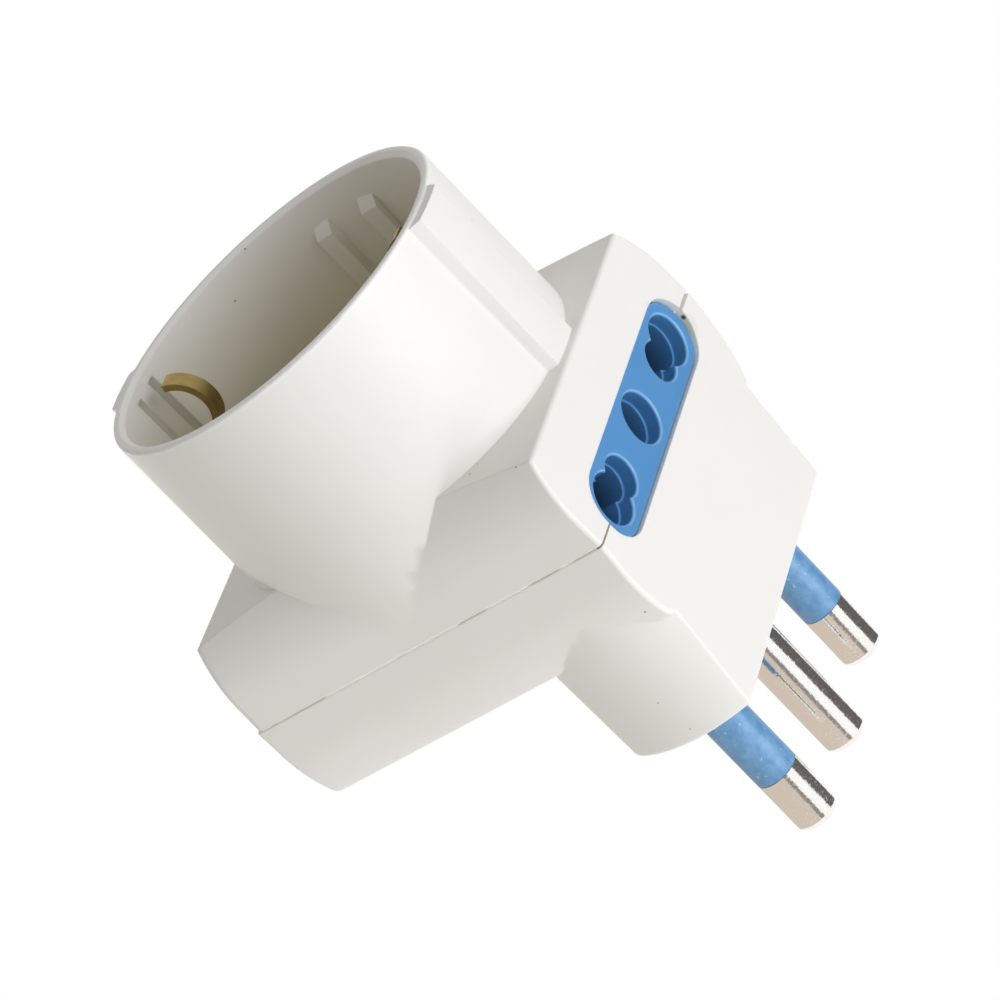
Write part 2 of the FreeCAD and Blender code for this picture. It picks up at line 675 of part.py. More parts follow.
def make_insert(label, turned):
    """A blue outlet insert: a round-ended face with five overlapping holes, a flange behind the
    end wall, and guide tubes that lead a plug's pins to the contacts. Its face is at local X 0."""
    body = new_body(label)
    face = capsule("opening_half_length - insert_clearance",
                   "opening_half_height - insert_clearance", "0")
    plate = new_sketch(body, "YZ_Plane", outlines=[face])
    seat = "(end_wall - insert_recess)"
    pad(body, plate, f"{seat} + insert_flange", backwards=True)
    rim = capsule("opening_half_length + insert_lip", "opening_half_height + insert_lip", "0")
    flange = new_sketch(body, "YZ_Plane", offset=f"-{seat}", outlines=[rim])
    pad(body, flange, "insert_flange", backwards=True)
    outer = "hole_radius + guide_wall"
    tubes = [tube_outline(outer, "inner_hole_row", "pin_row"),
             tube_outline(outer, "-pin_row", "-inner_hole_row")]
    guides = new_sketch(body, "YZ_Plane", offset=f"-{seat}", outlines=tubes,
                        circles=[("0", "0", outer)])
    pad(body, guides, f"insert_depth - {seat}", backwards=True)
    for step, depth in (("0", "hole_step_depth"), ("hole_step", "insert_depth")):
        wide = [(y, "0", f"hole_radius - {step}") for y in ("0", "pin_row", "-pin_row")]
        small = [(y, "0", f"inner_hole_radius - {step}")
                 for y in ("inner_hole_row", "-inner_hole_row")]
        for circles in (wide, small):
            pocket(body, new_sketch(body, "YZ_Plane", circles=circles), depth)
    across = value("2 * hole_radius + hole_chamfer")
    soften(body, "Chamfer", "hole_chamfer",
           lambda edge: near(edge.BoundBox.XMin, 0) and near(edge.BoundBox.XMax, 0)
           and edge.BoundBox.ZLength < across)
    turn = FreeCAD.Rotation(FreeCAD.Vector(0, 0, 1), 180 if turned else 0)
    body.Placement = FreeCAD.Placement(FreeCAD.Vector(), turn)
    place = "-far_end + insert_recess" if turned else "bar_end - insert_recess"
    body.setExpression(".Placement.Base.x", sized(place))
    body.setExpression(".Placement.Base.z", sized("parting_height"))
    return body


def tube_outline(outer, low, high):
    """The outline of the guide tube round a pair of overlapping holes at low and high."""
    outer = f"({outer})"
    return [(high, f"-{outer}"), (high, outer, high, "0", "left"), (low, outer),
            (low, f"-{outer}", low, "0", "left")]


def make_pin(label, row, length, sleeved):
    """A turned contact pin with a round end, a thinner shank inside its tube, a flange on top of
    the tube and a riveted tail. A live or neutral pin is necked for its sleeve."""
    body = new_body(label)
    flange_top = "tube_top + flange_thickness"
    rivet_radius, rivet_top = "tail_radius + rivet_rim", "strip_top + rivet_head"
    steps = [("0", f"-{length}"), ("pin_radius", f"-{length}")]
    if sleeved:
        steps += [("pin_radius", "-sleeve_length"), ("neck_radius", "-sleeve_length"),
                  ("neck_radius", "sleeve_seat"), ("shank_radius", "sleeve_seat")]
    else:
        steps += [("pin_radius", "-shank_relief"), ("shank_radius", "-shank_relief")]
    steps += [("shank_radius", "tube_top"), ("flange_radius", "tube_top"),
              ("flange_radius", flange_top), ("tail_radius", flange_top),
              ("tail_radius", "strip_top"), (rivet_radius, "strip_top"),
              (rivet_radius, rivet_top), ("0", rivet_top)]
    profile = new_sketch(body, "XZ_Plane", outlines=[steps])
    revolve(body, profile)
    end = value(f"-{length}")
    soften(body, "Fillet", "pin_end_round",
           lambda edge: near(edge.BoundBox.ZMax, end) and edge.BoundBox.XLength > 1)
    body.setExpression(".Placement.Base.y", sized(row))
    return body


def make_sleeve(label, row):
    """The blue insulating sleeve round a live or neutral pin, thinner inside its tube."""
    body = new_body(label)
    waist = "pin_radius - sleeve_waist"
    tube = [("neck_radius", "sleeve_seat"), ("neck_radius", "-sleeve_length"),
            ("pin_radius - sleeve_chamfer", "-sleeve_length"),
            ("pin_radius", "-sleeve_length + sleeve_chamfer"), ("pin_radius", "-shank_relief"),
            (waist, "-shank_relief"), (waist, "sleeve_seat")]
    profile = new_sketch(body, "XZ_Plane", outlines=[tube])
    revolve(body, profile)
    body.setExpression(".Placement.Base.y", sized(row))
    return body


def make_strip(label, low, high, holes):
    """A flat bar under the outlets, joined to a pin's tail and drilled for the contacts' studs."""
    body = new_body(label)
    plate = rectangle("-strip_far", "strip_end", low, high)
    profile = new_sketch(body, "XY_Plane", offset="strip_under", outlines=[plate])
    pad(body, profile, "strip_thickness")
    drill = new_sketch(body, "XY_Plane", offset="strip_top", circles=holes)
    pocket(body, drill, "strip_thickness")
    return body


def spring_outline(depth, gap):
    """A spring contact seen from the side: two leaves from a flared mouth at local X 0 through a
    narrow throat to a closed back."""
    inside = [("0", "mouth_gap / 2"), ("-throat_run", "throat_gap / 2"),
              (f"-{depth} + spring_thickness", f"{gap} / 2")]
    outside = [("0", "(mouth_gap / 2 + spring_thickness)"),
               ("-throat_run", "(throat_gap / 2 + spring_thickness)"),
               (f"-{depth}", f"({gap} / 2 + spring_thickness)")]
    lower_inside = [(x, f"-{y}") for x, y in reversed(inside)]
    lower_outside = [(x, f"-{y}") for x, y in outside]
    return inside + lower_inside + lower_outside + outside[::-1]


def make_side_contact(label, turned, row, width):
    """A contact behind a blue outlet, its mouth towards the insert and its stud in the bar."""
    body = new_body(label)
    profile = new_sketch(body, "XZ_Plane", outlines=[spring_outline("spring_depth", "spring_gap")])
    pad(body, profile, width, both=True)
    stud = "(-mouth_place - collar_distance + stud_offset)"
    leaf = "((throat_gap + spring_thickness) / 2)"
    drop = "(parting_height - strip_under)"
    shank = new_sketch(body, "XY_Plane", offset=f"-{leaf}", circles=[(stud, "0", "stud_radius")])
    pad(body, shank, f"{drop} - {leaf} + stud_head", backwards=True)
    head = new_sketch(body, "XY_Plane", offset=f"-{drop}", circles=[(stud, "0", "stud_head_radius")])
    pad(body, head, "stud_head", backwards=True)
    turn = FreeCAD.Rotation(FreeCAD.Vector(0, 0, 1), 180 if turned else 0)
    body.Placement = FreeCAD.Placement(FreeCAD.Vector(), turn)
    place = "bar_reach - far_reach - 2 * collar_distance - mouth_place" if turned else "mouth_place"
    body.setExpression(".Placement.Base.x", sized(place))
    body.setExpression(".Placement.Base.y", sized(row))
    body.setExpression(".Placement.Base.z", sized("parting_height"))
    return body


def make_round_contact(label, row):
    """A contact under one hole of the round outlet, standing on its bar."""
    body = new_body(label)
    mouth = "(floor_under - round_top_clearance)"
    depth = f"({mouth} - strip_top)"
    profile = new_sketch(body, "XZ_Plane", outlines=[spring_outline(depth, "round_gap")])
    pad(body, profile, "round_contact_width", both=True)
    shank = new_sketch(body, "YZ_Plane", offset=f"-{depth}", circles=[("0", "0", "stud_radius")])
    pad(body, shank, "strip_thickness", backwards=True)
    head = new_sketch(body, "YZ_Plane", offset=f"-{depth} - strip_thickness",
                      circles=[("0", "0", "stud_head_radius")])
    pad(body, head, "stud_head", backwards=True)
    upright = FreeCAD.Rotation(FreeCAD.Vector(0, 1, 0), -90)
    body.Placement = FreeCAD.Placement(FreeCAD.Vector(), upright)
    body.setExpression(".Placement.Base.x", sized("-collar_distance"))
    body.setExpression(".Placement.Base.y", sized(row))
    body.setExpression(".Placement.Base.z", sized(mouth))
    return body


def make_clip(label, turned):
    """A brass earth clip: a foot under the floor, a leg up the wall and a bow into the recess."""
    body = new_body(label)
    half = "(clip_thickness / 2)"
    wall_side, clear_side = f"clip_leg + {half}", f"clip_leg - {half}"
    foot = f"{wall_side} - clip_foot"
    bow_level = "(rim_height - bow_drop)"
    outer, inner = f"(bow_radius + {half})", f"(bow_radius - {half})"
    start_x, start_y = "cos(240)", "sin(240)"
    end_x, end_y = "cos(100)", "sin(100)"
    knee = "(floor_level + clip_leg_height)"
    steps = [(foot, "strap_top"), (wall_side, "strap_top"), (wall_side, f"{knee} + {half}"),
             (f"bow_centre + {inner} * {start_x}", f"{bow_level} + {inner} * {start_y}"),
             (f"bow_centre + {inner} * {end_x}", f"{bow_level} + {inner} * {end_y}",
              "bow_centre", bow_level, "right"),
             (f"bow_centre + {outer} * {end_x}", f"{bow_level} + {outer} * {end_y}"),
             (f"bow_centre + {outer} * {start_x}", f"{bow_level} + {outer} * {start_y}",
              "bow_centre", bow_level, "left"),
             (clear_side, knee), (clear_side, "floor_under"), (foot, "floor_under")]
    profile = new_sketch(body, "XZ_Plane", outlines=[steps])
    pad(body, profile, "clip_width", both=True)
    turn = FreeCAD.Rotation(FreeCAD.Vector(0, 0, 1), 180 if turned else 0)
    body.Placement = FreeCAD.Placement(FreeCAD.Vector(), turn)
    body.setExpression(".Placement.Base.x", sized("-collar_distance"))
    body.setExpression(".Placement.Base.y", sized("-clip_shift" if turned else "clip_shift"))
    return body


def make_strap():
    """The strap that joins both earth clips under the floor, with a plate round the screw."""
    body = new_body("earth_strap")
    reach = "(clip_leg + clip_thickness / 2)"
    half = "(clip_width / 2 + clip_shift)"
    strip = rectangle(f"-{reach}", reach, f"-{half}", half)
    plate = rectangle("-strap_plate_reach", "strap_plate_reach",
                      "-strap_plate_half", "strap_plate_half")
    for outline in (strip, plate):
        profile = new_sketch(body, "XY_Plane", outlines=[outline])
        pad(body, profile, "clip_thickness")
    hole = new_sketch(body, "XY_Plane", offset="clip_thickness",
                      circles=[("0", "0", "screw_radius + screw_clearance")])
    pocket(body, hole, "clip_thickness")
    body.setExpression(".Placement.Base.x", sized("-collar_distance"))
    body.setExpression(".Placement.Base.z", sized("strap_under"))
    return body


def make_riser():
    """The channel-shaped link from the earth bar up to the strap, beside the screw boss."""
    body = new_body("earth_riser")
    web = "(riser_outer - clip_thickness)"
    steps = [("riser_inner", "strip_top"), ("riser_outer", "strip_top"),
             ("riser_outer", "strap_under"), ("riser_inner", "strap_under"),
             ("riser_inner", "strap_under - clip_thickness"), (web, "strap_under - clip_thickness"),
             (web, "strip_top + clip_thickness"), ("riser_inner", "strip_top + clip_thickness")]
    profile = new_sketch(body, "YZ_Plane", outlines=[steps])
    pad(body, profile, "riser_width", both=True)
    body.setExpression(".Placement.Base.x", sized("-collar_distance"))
    return body


def make_screw():
    """The screw in the middle of the round outlet's floor, with a cross recess in its head."""
    body = new_body("shell_screw")
    head_top = "(screw_head_height - screw_sink)"
    steps = [("0", "-screw_sink - screw_length"), ("screw_radius", "-screw_sink - screw_length"),
             ("screw_radius", "-screw_sink"), ("screw_head_radius", "-screw_sink"),
             ("screw_head_radius", head_top), ("0", head_top)]
    profile = new_sketch(body, "XZ_Plane", outlines=[steps])
    revolve(body, profile)
    for across, along in (("cross_width", "cross_length"), ("cross_length", "cross_width")):
        slot = rectangle(f"-{across} / 2", f"{across} / 2", f"-{along} / 2", f"{along} / 2")
        cut = new_sketch(body, "XY_Plane", offset=head_top, outlines=[slot])
        pocket(body, cut, "cross_depth")
    body.setExpression(".Placement.Base.x", sized("-collar_distance"))
    body.setExpression(".Placement.Base.z", sized("floor_level"))
    return body


def make_all():
    """Every piece of the adapter, one body each."""
    pieces = [make_front_shell(), make_rear_shell(),
              make_insert("socket_insert_right", False), make_insert("socket_insert_left", True)]
    tail = "tail_radius + rivet_clearance"
    stud = "stud_radius + rivet_clearance"
    near_stud = "-collar_distance + stud_offset"
    for pole, sign in (("live", ""), ("neutral", "-")):
        pin, outlet, middle = f"{sign}pin_row", f"{sign}outlet_row", f"{sign}contact_middle"
        low, high = ("-strip_outer", "-strip_inner") if sign else ("strip_inner", "strip_outer")
        pieces.append(make_pin(f"pin_{pole}", pin, "pin_length", True))
        pieces.append(make_sleeve(f"sleeve_{pole}", pin))
        pieces.append(make_strip(f"{pole}_bar", low, high,
                                 [("0", pin, tail), (near_stud, middle, stud),
                                  ("far_stud", middle, stud),
                                  ("-collar_distance", outlet, stud)]))
        pieces.append(make_round_contact(f"round_{pole}_contact", outlet))
    pieces.append(make_pin("pin_earth", "0", "earth_pin_length", False))
    pieces.append(make_strip("earth_bar", "-earth_strip_half", "earth_strip_half",
                             [("0", "0", tail), (near_stud, "0", stud), ("far_stud", "0", stud),
                              ("-collar_distance", "0", "screw_boss_radius + screw_clearance")]))
    for side, turned in (("right", False), ("left", True)):
        for pole, row in (("live", "contact_middle"), ("neutral", "-contact_middle"),
                          ("earth", "0")):
            width = "earth_contact_width" if pole == "earth" else "contact_width"
            pieces.append(make_side_contact(f"{side}_{pole}_contact", turned, row, width))
        pieces.append(make_clip(f"earth_clip_{side}", turned))
    pieces += [make_strap(), make_riser(), make_screw()]
    return pieces


def check(pieces):
    """Stop with a message if anything failed to build, cut nothing or added nothing."""
    for item in doc.Objects:
        if "Invalid" in item.State or "Error" in item.State:
            raise SystemExit(f"{item.Label}: {item.State}")
    for body in pieces:
        if body.Shape.isNull() or not body.Shape.isValid() or len(body.Shape.Solids) != 1:
            raise SystemExit(f"{body.Label}: not one valid solid")
        before = 0.0
        for feature in body.Group:
            if not feature.isDerivedFrom("PartDesign::Feature"):
                continue
            volume = feature.Shape.Volume
            if near(volume, before, 0.0001):
                raise SystemExit(f"{feature.Name} changes nothing")
            before = volume


pieces = make_all()
doc.recompute()
check(pieces)
for body in pieces:
    body.Shape.exportStep(f"parts/{body.Label}.step")
    print(f"{body.Label:24s} {body.Shape.Volume / 1000:8.3f} cm3")
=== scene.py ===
import math

import bmesh
import bpy
from mathutils import Matrix, Vector


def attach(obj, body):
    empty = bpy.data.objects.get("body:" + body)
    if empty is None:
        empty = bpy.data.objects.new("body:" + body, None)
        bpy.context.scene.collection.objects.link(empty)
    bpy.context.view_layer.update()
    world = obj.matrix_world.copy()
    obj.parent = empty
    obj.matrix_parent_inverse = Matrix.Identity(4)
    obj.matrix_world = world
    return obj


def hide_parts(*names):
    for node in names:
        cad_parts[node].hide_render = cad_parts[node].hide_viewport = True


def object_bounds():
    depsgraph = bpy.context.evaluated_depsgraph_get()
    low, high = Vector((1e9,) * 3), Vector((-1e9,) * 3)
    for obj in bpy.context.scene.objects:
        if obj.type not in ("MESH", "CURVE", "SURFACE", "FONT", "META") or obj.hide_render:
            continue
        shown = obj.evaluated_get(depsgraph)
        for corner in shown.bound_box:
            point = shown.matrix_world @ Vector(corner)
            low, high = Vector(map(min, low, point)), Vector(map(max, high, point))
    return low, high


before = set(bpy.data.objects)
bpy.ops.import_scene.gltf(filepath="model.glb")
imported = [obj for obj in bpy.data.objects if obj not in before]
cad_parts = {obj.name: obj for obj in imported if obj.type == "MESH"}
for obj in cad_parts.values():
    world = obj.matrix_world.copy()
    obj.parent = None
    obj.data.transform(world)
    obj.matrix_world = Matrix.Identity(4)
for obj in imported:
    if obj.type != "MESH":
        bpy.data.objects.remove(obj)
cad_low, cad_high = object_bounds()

# The studio: a camera with a long lens, looking down on the corner between the end over the stem
# and the crossbar's side, turned so that the pins point to the lower right.
MM = 0.001
scene = bpy.context.scene
scene.view_settings.view_transform = "Standard"

LENS_MM = 170.553
SENSOR_MM = 36.0
CAMERA_PLACE = Vector((260.6655, -363.2366, 196.0372)) * MM
IMAGE_RIGHT = Vector((0.7216206, 0.2308781, -0.6526553))
IMAGE_DOWN = Vector((-0.4070247, -0.6211005, -0.6697500))
IMAGE_FORWARD = Vector((-0.5599951, 0.7489522, -0.3542259))
NEAREST_SEEN = 10 * MM
FARTHEST_SEEN = 20.0

camera_data = bpy.data.cameras.new("studio_camera")
camera_data.lens = LENS_MM
camera_data.sensor_width = SENSOR_MM
camera_data.clip_start = NEAREST_SEEN
camera_data.clip_end = FARTHEST_SEEN
camera = bpy.data.objects.new("studio_camera", camera_data)
turn = Matrix((IMAGE_RIGHT, -IMAGE_DOWN, -IMAGE_FORWARD)).transposed().to_4x4()
camera.matrix_world = Matrix.Translation(CAMERA_PLACE) @ turn
scene.collection.objects.link(camera)
scene.camera = camera


def linear(hex_colour):
    """An sRGB hex colour as linear red, green, blue and full alpha."""
    channels = [int(hex_colour[i:i + 2], 16) / 255 for i in (1, 3, 5)]
    toned = [c / 12.92 if c <= 0.04045 else ((c + 0.055) / 1.055) ** 2.4 for c in channels]
    return (*toned, 1.0)


def add(tree, kind, settings=None, **inputs):
    """One node with its settings. Each input is a value or another node's output, and goes by its
    name or, where names repeat, by its place, as _6 and _7 for the two colours of a Mix."""
    made = tree.nodes.new(kind)
    for name, setting in (settings or {}).items():
        setattr(made, name, setting)
    for name, given in inputs.items():
        by_place = name[1:].isdigit()
        socket = made.inputs[int(name[1:]) if by_place else name.replace("_", " ")]
        if isinstance(given, bpy.types.NodeSocket):
            tree.links.new(given, socket)
        else:
            socket.default_value = given
    return made


# The floor and the world: a plain white sweep far under the adapter, and soft white light from
# all round it, fullest from below. Both show as pure white to the camera and in reflections.
FLOOR_DROP = 400 * MM
FLOOR_HALF = 4.0
LEVEL_LIGHT = 0.63
LIGHT_LOST_UPWARDS = 0.40

world = bpy.data.worlds.new("studio_light")
scene.world = world
world.use_nodes = True
tree = world.node_tree
tree.nodes.clear()


def seen_plainly(tree):
    """1 for a ray from the camera, off a glossy surface or through something clear, else 0."""
    path = add(tree, "ShaderNodeLightPath")
    straight = add(tree, "ShaderNodeMath", {"operation": "MAXIMUM"},
                   _0=path.outputs["Is Camera Ray"], _1=path.outputs["Is Transmission Ray"])
    return add(tree, "ShaderNodeMath", {"operation": "MAXIMUM"},
               _0=straight.outputs[0], _1=path.outputs["Is Glossy Ray"]).outputs[0]


way = add(tree, "ShaderNodeTexCoord")
upwards = add(tree, "ShaderNodeSeparateXYZ", Vector=way.outputs["Generated"])
fullness = add(tree, "ShaderNodeMath", {"operation": "MULTIPLY_ADD"},
               _0=upwards.outputs["Z"], _1=-LIGHT_LOST_UPWARDS, _2=LEVEL_LIGHT)
soft = add(tree, "ShaderNodeBackground", Color=linear("#FFFFFF"), Strength=fullness.outputs[0])
plain = add(tree, "ShaderNodeBackground", Color=linear("#FFFFFF"), Strength=1.0)
surroundings = add(tree, "ShaderNodeMixShader", Fac=seen_plainly(tree),
                   _1=soft.outputs[0], _2=plain.outputs[0])
add(tree, "ShaderNodeOutputWorld", Surface=surroundings.outputs[0])

floor_mesh = bpy.data.meshes.new("studio_floor")
corners = [(x * FLOOR_HALF, y * FLOOR_HALF, cad_low.z - FLOOR_DROP)
           for x, y in ((-1, -1), (1, -1), (1, 1), (-1, 1))]
floor_mesh.from_pydata(corners, [], [(0, 1, 2, 3)])
floor = bpy.data.objects.new("studio_floor", floor_mesh)
scene.collection.objects.link(floor)

# Matt paper: it takes a soft shadow and throws white light back up.
paper = bpy.data.materials.new("white_paper_sweep")
paper.use_nodes = True
tree = paper.node_tree
tree.nodes.clear()
matt = add(tree, "ShaderNodeBsdfDiffuse", Color=linear("#E4E4E2"))
pure_white = add(tree, "ShaderNodeEmission", Color=linear("#FFFFFF"), Strength=1.0)
sweep = add(tree, "ShaderNodeMixShader", Fac=seen_plainly(tree),
            _1=matt.outputs[0], _2=pure_white.outputs[0])
add(tree, "ShaderNodeOutputMaterial", Surface=sweep.outputs[0])
floor_mesh.materials.append(paper)

# Two dark cards and a beige one, curved round the pins. Only reflections show them: they give the
# nickel the dark and warm bands that it has in a white studio.
CARD_DISTANCE = 350 * MM
CARD_FOOT = -217 * MM
CARD_TOP = -42 * MM
CARD_STEPS = 24


def card(name, first, last, colour):
    """A curved card round the pins from one compass angle to another, in degrees from +X."""
    points = []
    for step in range(CARD_STEPS + 1):
        angle = math.radians(first + (last - first) * step / CARD_STEPS)
        x, y = CARD_DISTANCE * math.cos(angle), CARD_DISTANCE * math.sin(angle)
        points += [(x, y, CARD_FOOT), (x, y, CARD_TOP)]
    faces = [(2 * i, 2 * i + 2, 2 * i + 3, 2 * i + 1) for i in range(CARD_STEPS)]
    mesh = bpy.data.meshes.new(name)
    mesh.from_pydata(points, [], faces)
    board = bpy.data.materials.new(name)
    board.use_nodes = True
    board.node_tree.nodes.clear()
    face = add(board.node_tree, "ShaderNodeEmission", Color=linear(colour), Strength=1.0)
    add(board.node_tree, "ShaderNodeOutputMaterial", Surface=face.outputs[0])
    mesh.materials.append(board)
    stood = bpy.data.objects.new(name, mesh)
    scene.collection.objects.link(stood)
    stood.visible_camera = stood.visible_diffuse = stood.visible_shadow = False
    stood.visible_transmission = False


card("black_card_wide", 8, 76, "#65615F")
card("black_card_narrow", -58, -39, "#8F8A87")
card("beige_card", -233, -58, "#D3C7B9")

# Three soft boxes: a cool one level with the adapter lights the end over the stem, a small one low
# in front fills the side, and one low behind keeps the back from going grey.
LAMPS_AIM = Vector((-14, 0, 25)) * MM


def lamp(name, towards, distance, size, power, tint="#FFFFFF"):
    """A square soft box in the direction towards, seen from the crossbar's middle, facing it."""
    data = bpy.data.lights.new(name, "AREA")
    data.shape = "SQUARE"
    data.size = size
    data.energy = power
    data.color = linear(tint)[:3]
    box = bpy.data.objects.new(name, data)
    out = towards.normalized()
    facing = out.to_track_quat("Z", "Y").to_matrix().to_4x4()
    box.matrix_world = Matrix.Translation(LAMPS_AIM + out * distance) @ facing
    scene.collection.objects.link(box)
    return box


lamp("key_box", Vector((0.97, -0.17, 0.01)), 0.9, 0.7, 6.2, "#F3F6FF")
low_box = lamp("low_box", Vector((0.00, -0.66, -0.75)), 0.42, 0.26, 0.56)
low_box.visible_glossy = False
lamp("back_box", Vector((-0.83, 0.46, -0.32)), 0.9, 0.5, 1.1)


# The two housing shells: off-white injection-moulded ABS, clipped and screwed together at the seam
# that runs round the crossbar. The dim, yellower light deep in the round outlet is painted shade
# on its wall, the rim and the seam's edges get painted light, the seam is drawn darker in patches,
# and a few dark specks sit on the skin.
WELD_DISTANCE = 0.0005 * MM
SMOOTH_ANGLE = math.radians(24)


def smoothed_copy(name, node):
    """A welded copy of a solid's mesh that shades smoothly over its rounded faces."""
    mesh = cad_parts[node].data.copy()
    mesh.name = name
    mesh.materials.clear()
    shape = bmesh.new()
    shape.from_mesh(mesh)
    bmesh.ops.remove_doubles(shape, verts=shape.verts, dist=WELD_DISTANCE)
    for face in shape.faces:
        face.smooth = True
    for edge in shape.edges:
        edge.smooth = len(edge.link_faces) == 2 and edge.calc_face_angle(0) < SMOOTH_ANGLE
    shape.to_mesh(mesh)
    shape.free()
    piece = bpy.data.objects.new(name, mesh)
    scene.collection.objects.link(piece)
    weights = piece.modifiers.new("even_shading", "WEIGHTED_NORMAL")
    weights.mode = "FACE_AREA"
    weights.keep_sharp = True
    return piece


def put_on(piece, material, node):
    """Dress a piece that stands for one of the solids."""
    piece.data.materials.append(material)
    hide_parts(node)
    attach(piece, "root")


COLLAR_AXIS_X = -14.0 * MM
RECESS_EDGE = 20.3 * MM
RIM_HEIGHT = 56.5 * MM
RIM_PALE_DEPTH = 0.6 * MM
DEEPEST_SHADE_HEIGHT = 42.0 * MM
FLOOR_HEIGHT = 38.5 * MM
SEAM_HEIGHT = 24.5 * MM
SEAM_HALF_WIDTH = 0.12 * MM
END_FACE_X = 9.0 * MM
GAP_Y = 13.0 * MM
YELLOW_PATCH = Vector((8.6, 17.0, 23.0)) * MM
YELLOW_PATCH_RADIUS = 1.8 * MM
DARK_SPOT = Vector((9.25, 17.42, 23.84)) * MM
DARK_SPOT_RADIUS = 0.38 * MM
SPECKS = (
    (Vector((7.20, -20.05, 15.48)) * MM, 0.17 * MM),
    (Vector((0.74, -20.32, 5.95)) * MM, 0.11 * MM),
    (Vector((1.23, -20.21, 1.59)) * MM, 0.10 * MM),
    (Vector((-28.06, 14.03, 52.69)) * MM, 0.14 * MM),
    (Vector((-24.52, 16.88, 55.92)) * MM, 0.14 * MM),
    (Vector((6.45, 5.84, 49.78)) * MM, 0.09 * MM),
    (Vector((1.02, -16.52, 36.09)) * MM, 0.12 * MM),
    (Vector((1.66, -15.31, 36.03)) * MM, 0.10 * MM),
    (Vector((7.34, -18.88, 35.40)) * MM, 0.12 * MM),
)
WHITE_CLOUD = 11.1 * MM
SEAM_DARK_RUN = 6.25 * MM
WHITE_GRAIN = MM / 6
SHELL_EDGE_RADIUS = 0.25 * MM

# Moulded ABS: satin rather than glossy, off-white with faint clouds and softly rounded edges. Its
# real skin is finer than the render can show, so the grain is drawn at a sixth of a millimetre.
white = bpy.data.materials.new("moulded_white_abs")
white.use_nodes = True
tree = white.node_tree
tree.nodes.clear()
place = add(tree, "ShaderNodeTexCoord").outputs["Object"]
clouds = add(tree, "ShaderNodeTexNoise", Vector=place, Scale=1 / WHITE_CLOUD, Detail=3.0)
tone = add(tree, "ShaderNodeMix", {"data_type": "RGBA"}, Factor=clouds.outputs["Fac"],
           _6=linear("#F0EDE6"), _7=linear("#ECE9E1"))

# The recess's wall gets painted shade, darker and yellower from the rim down as the bounced light
# inside the outlet grows dim and warm, and the rim itself gets painted light, a little paler.
across = add(tree, "ShaderNodeMapping", Vector=place, Location=(-COLLAR_AXIS_X, 0.0, 0.0),
             Scale=(1.0, 1.0, 0.0))
from_axis = add(tree, "ShaderNodeVectorMath", {"operation": "LENGTH"}, _0=across.outputs[0])
near_axis = add(tree, "ShaderNodeMath", {"operation": "LESS_THAN"},
                _0=from_axis.outputs["Value"], _1=RECESS_EDGE)
apart = add(tree, "ShaderNodeSeparateXYZ", Vector=place)
depth = add(tree, "ShaderNodeMapRange", Value=apart.outputs["Z"],
            From_Min=RIM_HEIGHT, From_Max=DEEPEST_SHADE_HEIGHT)
above_floor = add(tree, "ShaderNodeMath", {"operation": "GREATER_THAN"},
                  _0=apart.outputs["Z"], _1=FLOOR_HEIGHT)
in_recess = add(tree, "ShaderNodeMath", {"operation": "MULTIPLY"},
                _0=near_axis.outputs[0], _1=above_floor.outputs[0])
recess_painted_shade = add(tree, "ShaderNodeMath", {"operation": "MULTIPLY"},
                _0=in_recess.outputs[0], _1=depth.outputs[0])
recess_shaded = add(tree, "ShaderNodeMix", {"data_type": "RGBA"}, Factor=recess_painted_shade.outputs[0],
               _6=tone.outputs[2], _7=linear("#DDD6BE"))
# Painted light: the rim's top face is drawn paler than the wall below it.
at_rim = add(tree, "ShaderNodeMapRange", Value=apart.outputs["Z"],
             From_Min=RIM_HEIGHT - RIM_PALE_DEPTH, From_Max=RIM_HEIGHT - RIM_PALE_DEPTH / 2)
rim_lit = add(tree, "ShaderNodeMix", {"data_type": "RGBA"}, Factor=at_rim.outputs[0],
             _6=recess_shaded.outputs[2], _7=linear("#F4F2EC"))

# The seam's edges get painted light, paler to offset the groove's shadow. The seam is drawn darker
# in patches along the sides and all across the end, up to the gap beside the yellowish patch,
# where the shells stand open.
on_seam = add(tree, "ShaderNodeMath", {"operation": "COMPARE"},
              _0=apart.outputs["Z"], _1=SEAM_HEIGHT, _2=SEAM_HALF_WIDTH)
seam_painted_light = add(tree, "ShaderNodeMix", {"data_type": "RGBA"}, Factor=on_seam.outputs[0],
            _6=rim_lit.outputs[2], _7=linear("#FFFDF6"))
runs = add(tree, "ShaderNodeTexNoise", Vector=place, Scale=1 / SEAM_DARK_RUN, Detail=1.0)
patches = add(tree, "ShaderNodeMapRange", Value=runs.outputs["Fac"],
              From_Min=0.50, From_Max=0.44, To_Max=0.35)
at_end = add(tree, "ShaderNodeMath", {"operation": "GREATER_THAN"},
             _0=apart.outputs["X"], _1=END_FACE_X)
seam_dark_runs = add(tree, "ShaderNodeMath", {"operation": "MAXIMUM"},
                _0=patches.outputs[0], _1=at_end.outputs[0])
before_gap = add(tree, "ShaderNodeMath", {"operation": "LESS_THAN"},
                 _0=apart.outputs["Y"], _1=GAP_Y)
closed = add(tree, "ShaderNodeMath", {"operation": "MULTIPLY"},
             _0=on_seam.outputs[0], _1=before_gap.outputs[0])
seam_darkness = add(tree, "ShaderNodeMath", {"operation": "MULTIPLY"},
            _0=closed.outputs[0], _1=seam_dark_runs.outputs[0])
seam_darkened = add(tree, "ShaderNodeMix", {"data_type": "RGBA"}, Factor=seam_darkness.outputs[0],
             _6=seam_painted_light.outputs[2], _7=linear("#A3957A"))
